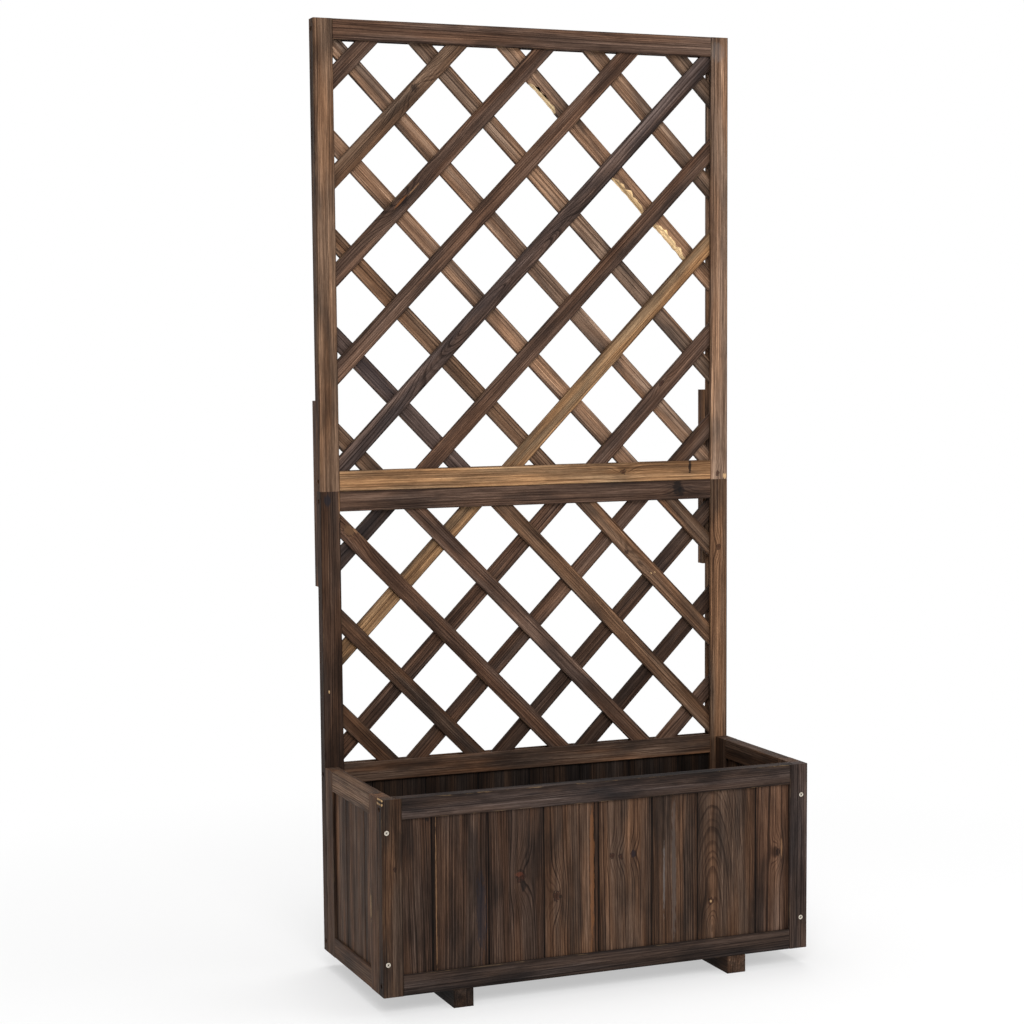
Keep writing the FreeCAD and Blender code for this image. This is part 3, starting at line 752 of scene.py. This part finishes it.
def zinc_material():
    """Bright zinc plating with fine wear."""
    material, graph, surface, spots = spotted_material(
        "zinc_plating", 0.8, (0.0, 0.0, 0.0), 4.0, (226, 218, 204), (172, 160, 142))
    surface.inputs["Metallic"].default_value = 1.0
    graph.feed(surface.inputs["Roughness"], graph.smooth(spots, 0.3, 0.7, 0.3, 0.5))
    return material


def recess_shade_material():
    """Painted shade: dark colour in the recesses of the screws."""
    material, _, surface, _ = spotted_material(
        "recess_grime", 1.4, (2.0, 5.0, 3.0), 3.0, (34, 28, 24), (70, 60, 50))
    surface.inputs["Roughness"].default_value = 0.8
    return material


# Screws: sides of their round parts, and sizes in millimetres
SIDES = 32
RIM_WIDTH, RIM_DEPTH = 0.3, 0.25
HEAD_DEPTH, SHANK_RADIUS = 2.6, 2.0
TIP_LENGTH, TIP_RADIUS = 4.0, 0.4
ARM_LENGTH, ARM_WIDTH, RECESS_DEPTH = 2.3, 0.55, 1.8
BOTTOM_LENGTH, BOTTOM_WIDTH = 0.45 * ARM_LENGTH, 0.6 * ARM_WIDTH
# Radius of the round head as a share of the CAD's eight-sided one, corner to middle
ROUND_SHARE = 0.96


def add_screw(shape, places, turn):
    """Add a countersunk screw with a cross recess where the CAD has a plain one."""
    spans = [max(place[axis] for place in places) - min(place[axis] for place in places)
             for axis in range(3)]
    lengthwise = spans.index(max(spans))
    axis_of_screw = (X, Y, Z)[lengthwise]
    centre = Vector([(max(place[axis] for place in places) + min(place[axis] for place in places)) / 2
                     for axis in range(3)])
    ends = [pick(places, key=lambda place: place[lengthwise])[lengthwise] for pick in (min, max)]

    def girth(end):
        return max((place - centre - axis_of_screw * (place - centre)[lengthwise]).length
                   for place in places if abs(place[lengthwise] - end) < RIM_WIDTH * MM)

    head_end = max(ends, key=girth)
    tip_end = ends[0] if head_end == ends[1] else ends[1]
    inward = axis_of_screw * (1 if tip_end > head_end else -1)
    head = centre.copy()
    head[lengthwise] = head_end
    length = abs(tip_end - head_end)
    first = inward.orthogonal().normalized()
    second = inward.cross(first)

    def corner(radius, depth, angle):
        flat = first * math.cos(angle) + second * math.sin(angle)
        return shape.verts.new(head + flat * radius + inward * depth)

    wide = girth(head_end) * ROUND_SHARE
    profile = ((wide - RIM_WIDTH * MM, 0.0), (wide, RIM_DEPTH * MM),
               (SHANK_RADIUS * MM, HEAD_DEPTH * MM),
               (SHANK_RADIUS * MM, length - TIP_LENGTH * MM), (TIP_RADIUS * MM, length))
    rings = [[corner(radius, depth, turn + math.tau * step / SIDES) for step in range(SIDES)]
             for radius, depth in profile]
    for upper, lower in zip(rings, rings[1:]):
        for step in range(SIDES):
            after = (step + 1) % SIDES
            shape.faces.new((upper[step], upper[after], lower[after], lower[step]))
    shape.faces.new(rings[-1])

    def cross(length_of_arm, width_of_arm, depth):
        outline = []
        for quarter in range(4):
            start = turn + quarter * math.pi / 2
            reach = math.hypot(length_of_arm, width_of_arm)
            lean = math.atan2(width_of_arm, length_of_arm)
            outline.append(corner(reach * MM, depth, start - lean))
            outline.append(corner(reach * MM, depth, start + lean))
            outline.append(corner(width_of_arm * math.sqrt(2) * MM, depth, start + math.pi / 4))
        return outline

    mouth = cross(ARM_LENGTH, ARM_WIDTH, 0.0)
    bottom = cross(BOTTOM_LENGTH, BOTTOM_WIDTH, RECESS_DEPTH * MM)
    # The walls and bottom of the recess take the second material: painted shade
    for step in range(len(mouth)):
        after = (step + 1) % len(mouth)
        wall = shape.faces.new((mouth[step], mouth[after], bottom[after], bottom[step]))
        wall.material_index = 1
    shape.faces.new(bottom).material_index = 1
    rim = [edge for loop in (rings[0], mouth) for point in loop
           for edge in point.link_edges if edge.other_vert(point) in loop]
    # Each edge once, in the order in which it was met, so that every run gives the same faces
    bmesh.ops.triangle_fill(shape, use_beauty=True, edges=list(dict.fromkeys(rim)))


# Zinc plating for the screws, and painted shade for their recesses
ZINC, RECESS_SHADE = zinc_material(), recess_shade_material()
for name in SCREW_NODES:
    draw = random.Random("turn " + name)
    shape = bmesh.new()
    for places, _ in solids_of(name):
        add_screw(shape, places, draw.uniform(0, math.tau))
    bmesh.ops.recalc_face_normals(shape, faces=shape.faces)
    mesh = bpy.data.meshes.new(name + "_turned")
    shape.to_mesh(mesh)
    shape.free()
    mesh.materials.append(ZINC)
    mesh.materials.append(RECESS_SHADE)
    new_piece(name + "_turned", mesh, name)

# ---------------------------------------------------------------- floor, light and camera

FLOOR_REACH = 30.0
PALE = (0.93, 0.93, 0.93, 1)
# The floor turns white between these distances from the middle, in metres
PALE_UNTIL, WHITE_FROM = 0.5, 1.6
LIGHT_FROM_ROUND, SEEN_WHITE = 0.34, 1.0


def seen_directly(graph):
    """1 for rays that show a surface as such, 0 for rays that light something else."""
    rays = graph.add("ShaderNodeLightPath").outputs
    sharp = graph.math("MAXIMUM", rays["Is Glossy Ray"], rays["Is Transmission Ray"])
    return graph.math("MAXIMUM", rays["Is Camera Ray"], sharp)


def make_floor():
    """Wide pale floor that turns into the white background away from the object."""
    mesh = bpy.data.meshes.new("floor")
    corners = [(x * FLOOR_REACH, y * FLOOR_REACH, 0) for x, y in ((-1, -1), (1, -1), (1, 1), (-1, 1))]
    mesh.from_pydata(corners, [], [(0, 1, 2, 3)])
    floor = bpy.data.objects.new("floor", mesh)
    bpy.context.scene.collection.objects.link(floor)
    material = bpy.data.materials.new("pale_floor")
    material.use_nodes = True
    tree = material.node_tree
    tree.nodes.clear()
    graph = Graph(tree)
    pale = graph.add("ShaderNodeBsdfDiffuse")
    pale.inputs["Color"].default_value = PALE
    white = graph.add("ShaderNodeEmission")
    white.inputs["Color"].default_value = (1, 1, 1, 1)
    white.inputs["Strength"].default_value = 1.0
    away = graph.vector("LENGTH", graph.add("ShaderNodeTexCoord").outputs["Object"])
    whiteness = graph.smooth(away, PALE_UNTIL, WHITE_FROM, 0.5, 1.0)
    share = graph.math("MULTIPLY", whiteness, seen_directly(graph))
    blend = graph.add("ShaderNodeMixShader")
    graph.feed(blend.inputs[0], share)
    graph.feed(blend.inputs[1], pale.outputs[0])
    graph.feed(blend.inputs[2], white.outputs[0])
    output = graph.add("ShaderNodeOutputMaterial")
    graph.feed(output.inputs["Surface"], blend.outputs[0])
    mesh.materials.append(material)


def make_world():
    """White where it is seen, and soft light from all round elsewhere."""
    world = bpy.data.worlds.new("studio")
    bpy.context.scene.world = world
    world.use_nodes = True
    graph = Graph(world.node_tree)
    background = world.node_tree.nodes["Background"]
    background.inputs["Color"].default_value = (1, 1, 1, 1)
    strength = graph.smooth(seen_directly(graph), 0.0, 1.0, LIGHT_FROM_ROUND, SEEN_WHITE)
    graph.feed(background.inputs["Strength"], strength)


def add_softbox(name, place, target, size, power):
    """Square area lamp that faces a target."""
    light = bpy.data.lights.new(name, "AREA")
    light.shape = "SQUARE"
    light.size = size
    light.energy = power
    lamp = bpy.data.objects.new(name, light)
    lamp.location = place
    lamp.rotation_euler = (Vector(target) - Vector(place)).to_track_quat("-Z", "Y").to_euler()
    bpy.context.scene.collection.objects.link(lamp)


def add_camera():
    """The photograph's camera: level lens turned by yaw, pitch and roll."""
    place = Vector((-1.3823, -3.2476, 0.9964))
    yaw, pitch, roll = -0.389643, -0.091715, 0.045525
    focal_pixels, image_pixels = 2232.8, 1024
    centre_x, centre_y = 526.9, 573.3
    turn = Matrix.Rotation(roll, 3, "Y") @ Matrix.Rotation(pitch, 3, "X") @ Matrix.Rotation(yaw, 3, "Z")
    right, forward, up = turn.col
    data = bpy.data.cameras.new("camera")
    data.sensor_width = 36
    data.lens = focal_pixels / image_pixels * data.sensor_width
    data.shift_x = 0.5 - centre_x / image_pixels
    data.shift_y = centre_y / image_pixels - 0.5
    camera = bpy.data.objects.new("camera", data)
    axes = Matrix((right, up, -forward)).transposed()
    camera.matrix_world = Matrix.Translation(place) @ axes.to_4x4()
    bpy.context.scene.collection.objects.link(camera)
    bpy.context.scene.camera = camera


make_floor()
make_world()
MIDDLE = (0, 0, 0.7)
add_softbox("key_light", (-1.2, -3.6, 3.4), MIDDLE, 2.4, 125)
add_softbox("fill_light", (3.4, -2.2, 1.8), MIDDLE, 2.4, 50)
add_softbox("top_light", (0.2, 0.6, 4.2), MIDDLE, 2.0, 76)
add_camera()

scene = bpy.context.scene
scene.view_settings.view_transform = "Standard"
